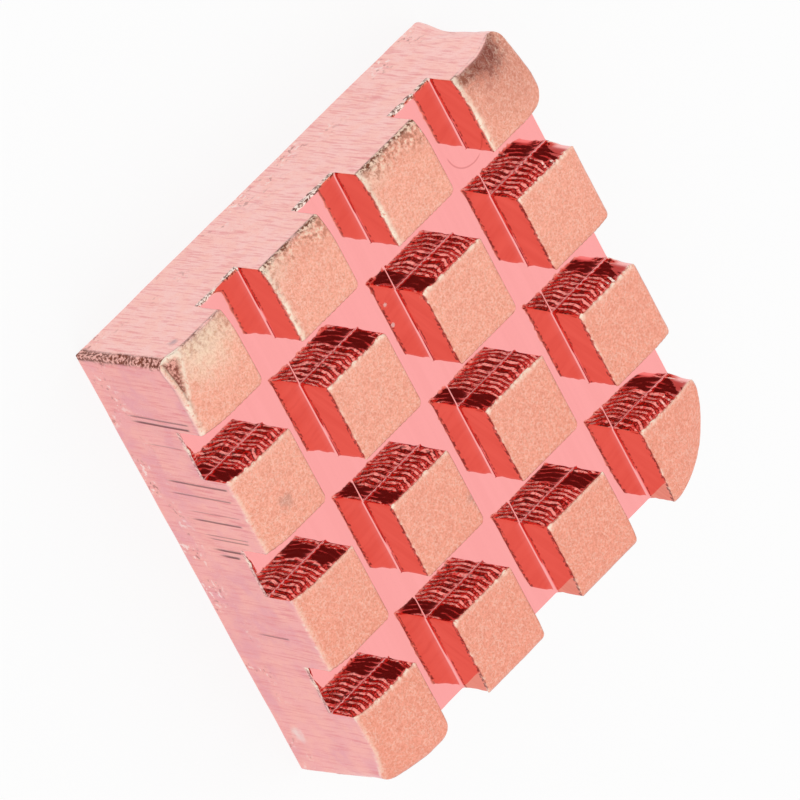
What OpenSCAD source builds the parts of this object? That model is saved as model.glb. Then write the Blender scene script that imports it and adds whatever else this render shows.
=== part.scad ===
// Pin fin heat sink for a small chip: one block of copper. The blank is punched from
// thick strip, which rolls its upper edges over, and two crossing sets of saw slots
// then leave a field of square pins standing on a thick base.
//
// The block stands on its flat underside. The origin is the centre of that face, the
// length runs along X, the width along Y and the pins point up along +Z. Front is the
// side that faces -Y, and left is the side that faces -X. All sizes are millimetres.

/* [Pins] */
// Number of pins in a row along X
columns = 4; // [2:1:8]
// Number of pins in a column along Y
rows = 4; // [2:1:8]
// Size of each pin along the length
pin_length = 2.18; // [1.2:0.01:6]
// Size of each pin along the width
pin_width = 2.12; // [1.2:0.01:6]
// Height of the pins over the deeper slots
pin_height = 1.06; // [0.6:0.01:6]
// Radius worn on the back right corner of each pin that has slots on both sides of it
pin_corner_radius = 0.16; // [0.05:0.01:0.4]

/* [Base] */
// Thickness of the copper left under the deeper slots
base_thickness = 2.42; // [0.8:0.05:8]

/* [Slots] */
// Width of the slots that run along the length
long_slot_width = 1.48; // [0.6:0.01:4]
// Width of the slots that run across the block
cross_slot_width = 1.43; // [0.6:0.01:4]
// How much shallower the slots across the block are than those along it
cross_slot_rise = 0.02; // [0.01:0.01:0.2]
// Radius that the saw leaves at the root of each pin
root_radius = 0.1; // [0.02:0.01:0.25]

/* [Sides] */
// How far the left side leans in at its foot
left_side_lean = 0.19; // [0:0.01:0.3]

/* [Rolled edges] */
// How far in from each side the top starts to roll down
edge_roll_width = 0.9; // [0.3:0.05:1.1]
// How far the rolled top has dropped where it meets the front side
front_edge_drop = 0.19; // [0.05:0.01:0.28]
// How far the rolled top has dropped where it meets the right side
right_edge_drop = 0.12; // [0.05:0.01:0.28]
// How far the rolled top has dropped where it meets the back side
back_edge_drop = 0.12; // [0.05:0.01:0.28]
// How far the rolled top has dropped where it meets the left side
left_edge_drop = 0.19; // [0.05:0.01:0.28]
// How far in from each corner the top starts to roll down
corner_roll_width = 1.5; // [0.5:0.05:2]
// How far the rolled top has dropped at the front left corner itself
front_left_drop = 0.42; // [0.05:0.01:0.6]
// How far the rolled top has dropped at the front right corner itself
front_right_drop = 0.5; // [0.05:0.01:0.6]
// How far the rolled top has dropped at the back left corner itself
back_left_drop = 0.54; // [0.05:0.01:0.6]
// How far the rolled top has dropped at the back right corner itself
back_right_drop = 0.26; // [0.05:0.01:0.6]

/* [Upright corners] */
// Radius of the front left corner
front_left_radius = 0.3; // [0.1:0.05:1]
// Radius of the front right corner
front_right_radius = 0.4; // [0.1:0.05:1]
// Radius of the back left corner
back_left_radius = 0.65; // [0.1:0.05:1]
// Radius of the back right corner, rounded off over the whole of its pin
back_right_radius = 2.05; // [0.1:0.05:2.2]
// Radius worn on the back left pin, where its back face meets the first slot
back_left_pin_radius = 0.42; // [0.05:0.01:0.6]
// Radius worn on the front right pin, where its right face meets the first slot
front_right_pin_radius = 0.34; // [0.05:0.01:0.6]

/* [Hidden] */
$fn = 96;

// How far every cutter runs on past the copper that it removes
overshoot = 0.4;

long_pitch = pin_length + cross_slot_width;
wide_pitch = pin_width + long_slot_width;
block_length = columns * long_pitch - cross_slot_width;
block_width = rows * wide_pitch - long_slot_width;
block_height = base_thickness + pin_height;

// Places of the slots that lie between the pins of one row, centred on zero
function slot_places(pins, pitch) = [for (k = [1 : pins - 1]) (k - pins / 2) * pitch];

// Place of the far side of each pin of one row, counted from the first
function far_sides(pins, pitch, slot) = [for (k = [1 : pins]) (k - pins / 2) * pitch - slot / 2];

// Radius of the arc that leaves the top level and drops by "drop" over "width"
function roll_radius(width, drop) = (width * width + drop * drop) / (2 * drop);

// Turns a profile so that it faces along X, with its own x along Y and its y along Z
module run_along_x(run) {
    rotate([90, 0, 90]) linear_extrude(run, center = true) children();
}

// The copper missing over a rolled edge, seen end on. The side is at x = 0 and the
// level top at y = 0.
module roll_profile(width, drop) {
    radius = roll_radius(width, drop);
    difference() {
        translate([-overshoot, -drop - overshoot]) square([width + overshoot, drop + 2 * overshoot]);
        translate([width, -radius]) circle(radius);
    }
}

// One side rolled over. The cutter is made at the front of a block that measures
// "across" from front to back, and is then turned to face the side it is for.
module edge_roll(turn, across, run, drop) {
    rotate([0, 0, turn]) translate([0, -across / 2, block_height])
        run_along_x(run + 2 * overshoot) roll_profile(edge_roll_width, drop);
}

module edge_rolls() {
    edge_roll(0, block_width, block_length, front_edge_drop);
    edge_roll(90, block_length, block_width, right_edge_drop);
    edge_roll(180, block_width, block_length, back_edge_drop);
    edge_roll(270, block_length, block_width, left_edge_drop);
}

// What one upright corner loses: the copper outside its radius, and a roll across it
// that drops further than the edges do. The corner is at the origin, with the block
// at +X and +Y of it.
module corner_waste(radius, drop) {
    arc_inset = radius * (1 - sqrt(0.5));
    linear_extrude(block_height + overshoot) difference() {
        translate([-overshoot, -overshoot]) square(radius + overshoot);
        translate([radius, radius]) circle(radius);
    }
    translate([arc_inset, arc_inset, block_height]) rotate([0, 0, -45])
        run_along_x(4 * corner_roll_width + 2 * radius) roll_profile(corner_roll_width, drop);
}

module at_corner(right, back) {
    translate([(right ? 1 : -1) * block_length / 2, (back ? 1 : -1) * block_width / 2, 0])
        mirror([right ? 1 : 0, 0, 0]) mirror([0, back ? 1 : 0, 0]) children();
}

// The block with sharp edges, whose left side was sheared at a slight lean
module sheared_block() {
    rotate([90, 0, 0]) linear_extrude(block_width, center = true) polygon([
        [left_side_lean - block_length / 2, 0],
        [block_length / 2, 0],
        [block_length / 2, block_height],
        [-block_length / 2, block_height]
    ]);
}

// The punched blank, before any slot is cut
module blank() {
    difference() {
        sheared_block();
        edge_rolls();
        at_corner(right = false, back = false) corner_waste(front_left_radius, front_left_drop);
        at_corner(right = true, back = false) corner_waste(front_right_radius, front_right_drop);
        at_corner(right = false, back = true) corner_waste(back_left_radius, back_left_drop);
        at_corner(right = true, back = true) corner_waste(back_right_radius, back_right_drop);
    }
}

// A slot seen end on, with its floor at y = 0 and a radius in each lower corner
module slot_profile(width) {
    half = width / 2;
    translate([-half, root_radius]) square([width, pin_height + overshoot]);
    translate([root_radius - half, 0]) square([width - 2 * root_radius, 2 * root_radius]);
    for (side = [-1, 1]) translate([side * (half - root_radius), root_radius]) circle(root_radius);
}

module long_slots() {
    for (y = slot_places(rows, wide_pitch))
        translate([0, y, base_thickness]) run_along_x(block_length + 2 * overshoot)
            slot_profile(long_slot_width);
}

module cross_slots() {
    for (x = slot_places(columns, long_pitch))
        translate([x, 0, base_thickness + cross_slot_rise]) rotate([0, 0, 90])
            run_along_x(block_width + 2 * overshoot) slot_profile(cross_slot_width);
}

// What a pin loses at its back right corner, above the radius at its root
module pin_wear(x, y, radius) {
    translate([x - radius, y - radius, base_thickness + cross_slot_rise + root_radius])
        linear_extrude(pin_height + overshoot) difference() {
            square(radius + overshoot);
            circle(radius);
        }
}

module worn_pins() {
    right_sides = far_sides(columns, long_pitch, cross_slot_width);
    back_sides = far_sides(rows, wide_pitch, long_slot_width);
    for (i = [0 : columns - 2], j = [0 : rows - 2]) pin_wear(right_sides[i], back_sides[j], pin_corner_radius);
    pin_wear(right_sides[0], back_sides[rows - 1], back_left_pin_radius);
    pin_wear(right_sides[columns - 1], back_sides[0], front_right_pin_radius);
}

module heat_sink() {
    color([0.93, 0.62, 0.52]) difference() {
        blank();
        long_slots();
        cross_slots();
        worn_pins();
    }
}

heat_sink();
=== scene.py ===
# %% [markdown]
# # A sawn copper pin fin heat sink
#
# The object is one small block of copper. Its blank is punched out of thick rolled strip,
# so its upper edges are rolled over and its sides are sheared. Two crossing sets of saw
# slots leave sixteen square pins on a thick base. What makes it look like copper is all
# in the surface: mirror-like slot floors, smooth walls one way and chattered walls the
# other way, matt tops, and burrs where the saw broke out.
#
# The imported model comes first. It gives the frame, in metres, that everything below is
# made in.

# %% Open the imported model
import math

import bmesh
import bpy
import numpy as np
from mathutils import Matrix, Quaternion, Vector


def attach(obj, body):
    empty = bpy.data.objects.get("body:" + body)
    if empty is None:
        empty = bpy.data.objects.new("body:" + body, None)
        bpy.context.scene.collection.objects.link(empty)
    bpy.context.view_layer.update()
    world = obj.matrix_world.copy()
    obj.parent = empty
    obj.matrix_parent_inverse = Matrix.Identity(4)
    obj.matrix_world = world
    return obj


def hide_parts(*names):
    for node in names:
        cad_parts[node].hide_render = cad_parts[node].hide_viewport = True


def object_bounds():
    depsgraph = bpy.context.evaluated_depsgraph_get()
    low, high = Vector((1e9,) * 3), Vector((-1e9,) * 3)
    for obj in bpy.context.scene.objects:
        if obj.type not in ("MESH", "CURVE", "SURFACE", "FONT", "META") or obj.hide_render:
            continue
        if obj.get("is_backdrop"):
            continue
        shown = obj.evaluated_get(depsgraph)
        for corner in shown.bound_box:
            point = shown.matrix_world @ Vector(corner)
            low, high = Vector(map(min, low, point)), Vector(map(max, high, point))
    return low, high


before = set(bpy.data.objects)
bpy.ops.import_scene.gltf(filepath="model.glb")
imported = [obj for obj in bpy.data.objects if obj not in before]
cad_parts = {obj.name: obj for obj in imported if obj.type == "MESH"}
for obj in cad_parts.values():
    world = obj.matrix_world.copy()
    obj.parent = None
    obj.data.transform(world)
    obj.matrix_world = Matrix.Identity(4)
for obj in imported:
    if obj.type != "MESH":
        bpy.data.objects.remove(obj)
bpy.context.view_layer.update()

# %% [markdown]
# ## The sizes of the block
#
# They repeat those of the CAD source, in millimetres, because a machinist thinks in them.
# Points are turned into metres once, when the mesh is made. ROOT_X, ROOT_Y and EDGE are
# small radii: at the foot of the two kinds of wall, and along the upper edges of the pins.

# %% Sizes in millimetres
PINS_X = 4
PINS_Y = 4
PIN_X = 2.18
PIN_Y = 2.12
SLOT_X = 1.43
SLOT_Y = 1.48
PIN_HEIGHT = 1.06
BASE = 2.42
CROSS_SLOT_RISE = 0.02
ROOT_X = 0.03
ROOT_Y = 0.06
EDGE = 0.035
PITCH_X = PIN_X + SLOT_X
PITCH_Y = PIN_Y + SLOT_Y
LENGTH = PINS_X * PIN_X + (PINS_X - 1) * SLOT_X
WIDTH = PINS_Y * PIN_Y + (PINS_Y - 1) * SLOT_Y
HEIGHT = BASE + PIN_HEIGHT
HALF_LENGTH = LENGTH / 2
HALF_WIDTH = WIDTH / 2
print(f"block {LENGTH:.2f} x {WIDTH:.2f} x {HEIGHT:.2f} mm")

# %% [markdown]
# ## The camera
#
# A small part is best looked at through a long lens from far away, so that its edges stay
# nearly parallel. A turn round the block, a height over it and a roll say more about the
# view than a place would, and are easier to change.

# %% Place the camera
VIEW_TURN = math.radians(-46.317)
VIEW_HEIGHT = math.radians(47.877)
VIEW_ROLL = math.radians(99.698)
VIEW_DISTANCE = 0.35879
VIEW_AIM = Vector((0.000564, 0.000477, 0.000667))
VIEW_LENS = 675

towards_camera = Vector((
    math.sin(VIEW_TURN) * math.cos(VIEW_HEIGHT),
    -math.cos(VIEW_TURN) * math.cos(VIEW_HEIGHT),
    math.sin(VIEW_HEIGHT),
))
camera = bpy.data.objects.new("camera", bpy.data.cameras.new("camera"))
bpy.context.scene.collection.objects.link(camera)
bpy.context.scene.camera = camera
camera.location = VIEW_AIM + towards_camera * VIEW_DISTANCE
camera.rotation_mode = "QUATERNION"
level_view = (-towards_camera).to_track_quat("-Z", "Y")
camera.rotation_quaternion = level_view @ Quaternion((0, 0, 1), VIEW_ROLL)
camera.data.sensor_width = 36
camera.data.lens = VIEW_LENS
camera.data.clip_start = 0.01
camera.data.clip_end = 5
bpy.context.scene.view_settings.view_transform = "Standard"
print("camera stands", round(1000 * VIEW_DISTANCE), "mm away, at", [round(v, 3) for v in camera.location])

# %% [markdown]
# ## A small kit for materials
#
# Each node of a material is placed by code. Short helpers keep every material readable as
# a list of steps.

# %% Helpers for nodes
def put(socket, value):
    """Join a socket to an output, or set it to a plain value."""
    if isinstance(value, bpy.types.NodeSocket):
        socket.id_data.links.new(value, socket)
    else:
        socket.default_value = value


def node(kind, inputs=(), tree=None, **settings):
    """Make one node, in the tree that its joined inputs come from, or else in the one given.
    Its settings are set, and then each (socket, value or output) is put in."""
    joined = [value for _, value in inputs if isinstance(value, bpy.types.NodeSocket)]
    made = (tree or joined[0].id_data).nodes.new(kind)
    for name, value in settings.items():
        setattr(made, name, value)
    for socket, value in inputs:
        put(made.inputs[socket], value)
    return made


def maths(operation, a, b=0.0, c=0.0):
    """The output of one Math node, which works on one, two or three numbers."""
    return node("ShaderNodeMath", ((0, a), (1, b), (2, c)), operation=operation).outputs[0]


def times(a, b):
    """a times b."""
    return maths("MULTIPLY", a, b)


def vector_maths(operation, a, b, output=0):
    """The output of one Vector Math node, which works on places or colours."""
    return node("ShaderNodeVectorMath", ((0, a), (1, b)), operation=operation).outputs[output]


def scaled(place, scale):
    """A place, with all of its three numbers times one scale."""
    inputs = ((0, place), ("Scale", scale))
    return node("ShaderNodeVectorMath", inputs, operation="SCALE").outputs[0]


def turned(place, axis, angle):
    """A place, turned about an axis through the origin."""
    inputs = (("Vector", place), ("Axis", axis), ("Angle", angle))
    return node("ShaderNodeVectorRotate", inputs, rotation_type="AXIS_ANGLE").outputs[0]


def split(place):
    """A place as its outputs X, Y and Z."""
    return node("ShaderNodeSeparateXYZ", ((0, place),)).outputs


def ramp(value, low, high, to_low=0.0, to_high=1.0, kind="SMOOTHSTEP"):
    """A value from low to high, turned into one from to_low to to_high by the smooth step
    3t^2 - 2t^3."""
    inputs = (
        ("Value", value), ("From Min", low), ("From Max", high), ("To Min", to_low), ("To Max", to_high))
    return node("ShaderNodeMapRange", inputs, interpolation_type=kind).outputs["Result"]


def mix(share, first, second):
    """The first number where share is 0, and the second where it is 1."""
    return node("ShaderNodeMix", (("Factor", share), ("A", first), ("B", second))).outputs[0]


def blend(share, first, second):
    """The first colour where share is 0, and the second where it is 1."""
    return node("ShaderNodeMix", ((0, share), (6, first), (7, second)), data_type="RGBA").outputs[2]


def new_material(name):
    """An empty node material, and the one Principled BSDF in it."""
    material = bpy.data.materials.new(name)
    material.use_nodes = True
    return material, material.node_tree.nodes["Principled BSDF"]


print("node helpers ready")

# %% [markdown]
# ## The room and its light
#
# Bright metal has no look of its own: it shows the room. A white room makes a slot floor
# shine, and one dark card on the far side turns the chattered walls into dark stripes. The
# card could be a mesh, but a patch of dark in the world's own light throws no shadow. For
# its sides and its ends, two numbers say how far from its middle it begins, and where it
# is at its darkest.

# %% Light the room
ROOM_LIGHT = 1.04
CARD_LIGHT = 0.2
CARD_TURN = math.radians(163)
CARD_HEIGHT = math.radians(48)
CARD_SIDES = (0.46, 0.38)
CARD_ENDS = (0.3, 0.2)

world = bpy.data.worlds.new("white room")
bpy.context.scene.world = world
world.use_nodes = True
room = world.node_tree
way = node("ShaderNodeTexCoord", tree=room).outputs["Generated"]
card_way = turned(turned(way, (0, 0, 1), -CARD_TURN), (0, 1, 0), CARD_HEIGHT)
ahead, sideways, upwards = split(card_way)
in_width = ramp(maths("ABSOLUTE", sideways), *CARD_SIDES)
in_height = ramp(maths("ABSOLUTE", upwards), *CARD_ENDS)
card = times(times(in_width, in_height), ramp(ahead, 0.0, 0.2))
light = ramp(card, 0.0, 1.0, ROOM_LIGHT, CARD_LIGHT, "LINEAR")
seen = node("ShaderNodeLightPath", tree=room).outputs["Is Camera Ray"]
background = room.nodes["Background"]
background.inputs["Color"].default_value = (1, 1, 1, 1)
put(background.inputs["Strength"], mix(seen, light, 1.0))
print("room lit, with a dark card", round(math.degrees(CARD_TURN)), "degrees round")

# %% [markdown]
# ## The floor
#
# A plain pale sheet. Where the camera and the metal look at it, it glows nearly white by
# itself, and the rest of it is matt paint that keeps the soft shadow of the block.

# %% Lay the floor
GLOW_SHARE = 0.85

bpy.ops.mesh.primitive_plane_add(size=0.6)
floor = bpy.context.object
floor.name = "floor"
floor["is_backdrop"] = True

paper, shader = new_material("pale floor")
tree = paper.node_tree
shader.inputs["Base Color"].default_value = (0.93, 0.93, 0.93, 1)
shader.inputs["Roughness"].default_value = 0.9
shader.inputs["Specular IOR Level"].default_value = 0.0
glow = node("ShaderNodeEmission", (("Color", (1, 1, 1, 1)), ("Strength", 1.0)), tree)
ray = node("ShaderNodeLightPath", tree=tree).outputs
looked_at = maths("MAXIMUM", ray["Is Camera Ray"], ray["Is Glossy Ray"])
looked_at = maths("MAXIMUM", looked_at, ray["Is Transmission Ray"])
mixed = node("ShaderNodeMixShader", (
    (0, times(looked_at, GLOW_SHARE)), (1, shader.outputs["BSDF"]), (2, glow.outputs["Emission"])))
put(tree.nodes["Material Output"].inputs["Surface"], mixed.outputs["Shader"])
floor.data.materials.append(paper)
print("floor laid")

# %% [markdown]
# ## Random numbers that repeat
#
# Wear and burrs are irregular, but the mesh must come out the same each time. Random
# numbers are put on a lattice and blended smoothly between its points.

# %% Lattice noise
LATTICE_NUMBERS = 4096


def soft_noise(seed, *places):
    """Smooth random waves from -1 to 1: the two to eight lattice values round a place,
    blended with the smooth step 3t^2 - 2t^3 along each direction."""
    table = np.random.default_rng(seed).uniform(-1, 1, LATTICE_NUMBERS)
    steps = (1, 57, 1013)[:len(places)]
    cells = [np.floor(place).astype(int) for place in places]
    parts = [place - cell for place, cell in zip(places, cells)]
    parts = [t * t * (3 - 2 * t) for t in parts]
    total = 0.0
    for corner in np.ndindex(*(2,) * len(places)):
        index = sum(step * (cell + up) for step, cell, up in zip(steps, cells, corner))
        weight = np.prod([t if up else 1 - t for t, up in zip(parts, corner)], axis=0)
        total = total + weight * table[index % LATTICE_NUMBERS]
    return total


def smooth_step(value, low, high):
    """0 below low, 1 above high, and the smooth step 3t^2 - 2t^3 between them."""
    t = np.clip((value - low) / (high - low), 0, 1)
    return t * t * (3 - 2 * t)


def near_edge(distance, reach):
    """1 at an edge, dying away as the bell exp(-(distance / reach)^2)."""
    return np.exp(-(distance / reach) ** 2)


print("lattice noise spans", np.round(np.ptp(soft_noise(1, np.linspace(0, 200, 4001))), 2))

# %% [markdown]
# ## The surface as a tablecloth
#
# The whole outside of the block, except its underside, is one sheet: it comes up the
# left side, over the first pin, down into a slot, up again and so on, and down the right
# side. The same holds from front to back. So the sheet is a grid of stations along X
# crossed with stations along Y. Each station has a place and a rise: 1 on a pin, 0 on a
# slot floor, and down to -1 at the foot of a side. Boxes and booleans could make the same
# form, but a grid gives even cells for the burrs and the wear that come later.

# %% Stations along one direction
WALL_RISE = np.array([0.93, 0.87, 0.8, 0.68, 0.52, 0.36, 0.22])
SIDE_RISE = np.concatenate([WALL_RISE, [0.1, 0.0, -0.015, -0.035], -np.linspace(0.07, 1, 17)])


def quarter(radius, steps):
    """Points of a quarter circle as (run, drop), from level to upright, without its ends:
    the run is radius * (1 - cos t) and the drop is radius * (1 - sin t)."""
    turn = np.linspace(0, math.pi / 2, steps + 1)[1:-1]
    return radius * (1 - np.cos(turn)), radius * (1 - np.sin(turn))


def stations(pins, pin, slot, root, pin_cells, slot_cells):
    """Places and rises of all stations along one direction, from the low side to the high
    side. A pin is a rounded edge, a level top and a rounded edge. A wall falls straight
    down and ends in the root radius. A side falls to the underside."""
    edge_run, edge_drop = quarter(EDGE, 3)
    root_run, root_rise = quarter(root, 4)
    wall_top = 1 - EDGE / PIN_HEIGHT

    # One pin from its middle outwards, then its wall down to the middle of the slot,
    # or down to the underside where the pin stands at a side of the block
    half = pin / 2
    level = np.linspace(0, 1, pin_cells // 2 + 1) * (half - EDGE)
    pin_out = np.concatenate([level, half - edge_run[::-1], [half]])
    pin_rise = np.concatenate([np.ones(level.size), 1 - edge_drop[::-1] / PIN_HEIGHT, [wall_top]])
    floor_out = half + np.concatenate([root_run, np.linspace(root, slot / 2, slot_cells // 2 + 1)])
    wall_out = np.concatenate([np.full(WALL_RISE.size + 1, half), floor_out])
    wall_rise = np.concatenate([
        WALL_RISE, [root / PIN_HEIGHT], root_rise / PIN_HEIGHT, np.zeros(slot_cells // 2 + 1)])
    inner = np.concatenate([pin_out, wall_out]), np.concatenate([pin_rise, wall_rise])
    side_out = np.full(SIDE_RISE.size, half)
    outer = np.concatenate([pin_out, side_out]), np.concatenate([pin_rise, SIDE_RISE])

    place, rise = [], []
    for number in range(pins):
        centre = (number - (pins - 1) / 2) * (pin + slot)
        left = outer if number == 0 else inner
        right = outer if number == pins - 1 else inner
        place += [centre - left[0][::-1], centre + right[0][1:]]
        rise += [left[1][::-1], right[1][1:]]
    return np.concatenate(place), np.concatenate(rise)


along, along_rise = stations(PINS_X, PIN_X, SLOT_X, ROOT_X, pin_cells=30, slot_cells=8)
across, across_rise = stations(PINS_Y, PIN_Y, SLOT_Y, ROOT_Y, pin_cells=48, slot_cells=8)
print(along.size, "stations along the block and", across.size, "across it")

# %% [markdown]
# ### Crossing the stations
#
# Where two stations cross, the lower of their rises wins, which is exactly what two
# crossing saw cuts leave. The square places are kept, because the corners are rounded
# below and the outer sides have to be told apart afterwards.

# %% Cross the two rows of stations
HAIR = 1e-6

SQUARE_X, SQUARE_Y = np.meshgrid(along, across, indexing="ij")
RISE_X, RISE_Y = np.meshgrid(along_rise, across_rise, indexing="ij")
RISE = np.minimum(RISE_X, RISE_Y)
OUTER = (np.abs(SQUARE_X) > HALF_LENGTH - HAIR) & (RISE_X <= RISE_Y)
OUTER = OUTER | (np.abs(SQUARE_Y) > HALF_WIDTH - HAIR) & (RISE_Y <= RISE_X)
print("grid of", RISE.shape, "stations,", int(OUTER.sum()), "of them on the outer sides")

# %% [markdown]
# ## The rolled top
#
# Punching drags the upper edges of the blank down with the tool, most at its corners.
# Each roll is an arc that leaves the level top at some distance from the side.

# %% Height of the top
EDGE_REACH = 0.9
CORNER_REACH = 1.5
FRONT_DROP = 0.19
RIGHT_DROP = 0.12
BACK_DROP = 0.12
LEFT_DROP = 0.19
CORNERS = (
    # right side, back side, radius, radius at the foot, drop at the corner
    (-1, -1, 0.3, 0.03, 0.42),
    (1, -1, 0.4, 0.05, 0.5),
    (-1, 1, 0.65, 0.2, 0.54),
    (1, 1, 2.05, 1.85, 0.26),
)


def rolled(distance, reach, drop):
    """How far a roll lies down. It is an arc that is level at the reach and has dropped by
    drop at distance 0, so its radius is (reach^2 + drop^2) / (2 * drop)."""
    radius = (reach * reach + drop * drop) / (2 * drop)
    run = np.clip(reach - distance, 0, radius)
    return radius - np.sqrt(radius * radius - run * run)


def top_drop(x, y):
    """The deepest of all rolls at a place on the top. A corner roll lies across the
    diagonal, and counts its distance from the rounded corner."""
    to_sides = (
        (y + HALF_WIDTH, FRONT_DROP), (HALF_LENGTH - x, RIGHT_DROP),
        (HALF_WIDTH - y, BACK_DROP), (x + HALF_LENGTH, LEFT_DROP))
    drops = [rolled(distance, EDGE_REACH, drop) for distance, drop in to_sides]
    for right, back, radius, _, drop in CORNERS:
        to_both = HALF_LENGTH - right * x + HALF_WIDTH - back * y
        diagonal = to_both * math.sqrt(0.5) - radius * (math.sqrt(2) - 1)
        drops.append(rolled(diagonal, CORNER_REACH, drop))
    return np.max(drops, axis=0)


print("top drops by", np.round(top_drop(np.array([0.0, -6.2]), np.array([0.0, -6.1])), 3), "mm")

# %% [markdown]
# ## Rounded upright corners
#
# A square corner is turned into a round one by sliding each point: seen from the centre
# of the round, a point that lies on a square ring is moved onto the circle of the same
# size. The corners of the block are round over the full height. The saw leaves the pins
# square at the root, so a worn corner of a pin starts above it.

# %% Round the corners
def round_corner(x, y, corner_x, corner_y, right, back, radius, amount=1.0):
    """Points (a, b) past the centre of the round go to (a, b) * max(a, b) / length of (a, b)."""
    a = right * (x - corner_x) + radius
    b = back * (y - corner_y) + radius
    inside = (a > 0) & (b > 0) & (a <= radius + HAIR) & (b <= radius + HAIR)
    far = np.maximum(np.hypot(a, b), 1e-9)
    pull = np.where(inside, np.maximum(a, b) / far - 1, 0) * amount
    return x + right * a * pull, y + back * b * pull


MOST_WORN = {(0, PINS_Y - 1): 0.42, (PINS_X - 1, 0): 0.34}


def pin_radius(i, j, right, back):
    """The radius of one corner of one pin: worn to the back right, crisp elsewhere, and a
    little crisper where the corner lies on a side of the block."""
    at_side = (i, right) in ((0, -1), (PINS_X - 1, 1)) or (j, back) in ((0, -1), (PINS_Y - 1, 1))
    if (right, back) == (1, 1):
        return MOST_WORN.get((i, j), 0.12 if at_side else 0.16)
    return 0.04 if at_side else 0.05


X, Y = SQUARE_X, SQUARE_Y
foot = smooth_step(RISE, -1.0, 0.3)
for right, back, radius, foot_radius, _ in CORNERS:
    corner = right * HALF_LENGTH, back * HALF_WIDTH, right, back
    high_x, high_y = round_corner(X, Y, *corner, radius)
    low_x, low_y = round_corner(X, Y, *corner, foot_radius)
    X = low_x + (high_x - low_x) * foot
    Y = low_y + (high_y - low_y) * foot

worn = smooth_step(RISE, ROOT_Y / PIN_HEIGHT, ROOT_Y / PIN_HEIGHT + 0.15)
rounded = 0
for i, j, right, back in np.ndindex(PINS_X, PINS_Y, 2, 2):
    right, back = 2 * right - 1, 2 * back - 1
    at_block_corner = (i, right) in ((0, -1), (PINS_X - 1, 1)) and (j, back) in ((0, -1), (PINS_Y - 1, 1))
    if not at_block_corner:
        corner_x = (i - (PINS_X - 1) / 2) * PITCH_X + right * PIN_X / 2
        corner_y = (j - (PINS_Y - 1) / 2) * PITCH_Y + back * PIN_Y / 2
        X, Y = round_corner(X, Y, corner_x, corner_y, right, back, pin_radius(i, j, right, back), worn)
        rounded += 1
print(rounded, "corners of pins rounded")

# %% [markdown]
# ## Where each station lies on its pin
#
# Burrs, worn edges and stains belong to one edge of a pin, so they are written in
# distances from that pin's own edges, and in the depth under its top.

# %% Distances from the edges of the nearest pin
def nearest_pin(place, pins, pitch):
    """The number of the nearest pin along one direction, and the place from its middle."""
    number = np.clip(np.round(place / pitch + (pins - 1) / 2), 0, pins - 1)
    return number, place - (number - (pins - 1) / 2) * pitch


COLUMN, FROM_PIN_X = nearest_pin(X, PINS_X, PITCH_X)
ROW, FROM_PIN_Y = nearest_pin(Y, PINS_Y, PITCH_Y)
LEFT = FROM_PIN_X + PIN_X / 2
RIGHT = PIN_X / 2 - FROM_PIN_X
FRONT = FROM_PIN_Y + PIN_Y / 2
BACK = PIN_Y / 2 - FROM_PIN_Y
FROM_LEFT = X + HALF_LENGTH
FROM_FRONT = Y + HALF_WIDTH
DEPTH = (1 - RISE) * PIN_HEIGHT
ON_PIN = (RISE > ROOT_Y / PIN_HEIGHT) & (np.minimum(LEFT, RIGHT) > -0.01) & (np.minimum(FRONT, BACK) > -0.01)
ON_TOP = smooth_step(RISE, 0.9, 0.965) * ON_PIN
print(int(ON_PIN.sum()), "stations on pins")

# %% [markdown]
# ## Lifting the sheet
#
# Between the slot floors and the tops the rise counts from 0 to 1, and down the sides it
# counts from 0 to -1. The slots across the block are a hair shallower than those along it,
# which shows as a fine step where they cross. The tops keep a little below the CAD ones,
# and that leaves the burrs their room.

# %% Heights
BURR_ROOM = 0.012
LIFTS = (
    # column, row, distance from the edge that is lifted, lift
    (0, 3, BACK, -0.1), (3, 3, BACK, -0.05), (1, 3, BACK, 0.03), (2, 3, BACK, 0.03),
    (3, 0, RIGHT, 0.04), (3, 1, RIGHT, 0.06), (3, 2, RIGHT, 0.03),
)
beyond_front = np.where(ROW > 0, FRONT, 0.03)
step = smooth_step(beyond_front, -0.03, 0.0) * (1 - smooth_step(beyond_front, 0.1, PIN_Y + 0.3))
FLOOR = BASE + 0.6 * CROSS_SLOT_RISE * step
TOP = HEIGHT - BURR_ROOM - top_drop(X, Y)
for column, row, distance, lift in LIFTS:
    TOP += lift * near_edge(distance, 0.6) * (COLUMN == column) * (ROW == row)
Z = np.where(RISE > 0, FLOOR + (TOP - FLOOR) * RISE, FLOOR * (1 + RISE))
print("heights from", Z.min(), "to", round(Z.max(), 3))

# %% [markdown]
# ## Blasted tops
#
# The tops are the skin of the rolled strip, blasted matt, with a slow swell and a fine
# grain. From here on every mark adds to three arrays, DX, DY and DZ, which say how far
# each station is pushed in the end.

# %% Shape the tops
SWELL_DEPTH = 0.006
GRAIN_DEPTH = 0.004

swell = soft_noise(21, X / 0.55, Y / 0.5)
grain = soft_noise(22, X / 0.11, Y / 0.1)
DX = np.zeros_like(X)
DY = np.zeros_like(X)
DZ = -(SWELL_DEPTH * (1 + swell) + GRAIN_DEPTH * (1 + grain)) * ON_TOP
print("tops swell by", round(float(np.ptp(DZ)), 3), "mm")

# %% [markdown]
# ## Burrs
#
# The teeth of the saw break out along the left edges of the pins and push up a ragged
# lip. Along the front edges the other saw leaves a finer one. A lip is a short bulge of
# the edge, and its reach is a ragged function of the place along the edge. Where two lips
# meet, the corner of the pin is drawn out into a lump.

# %% Push out the lips
LEFT_TOOTH = 0.075
FRONT_TOOTH = 0.06


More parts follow.
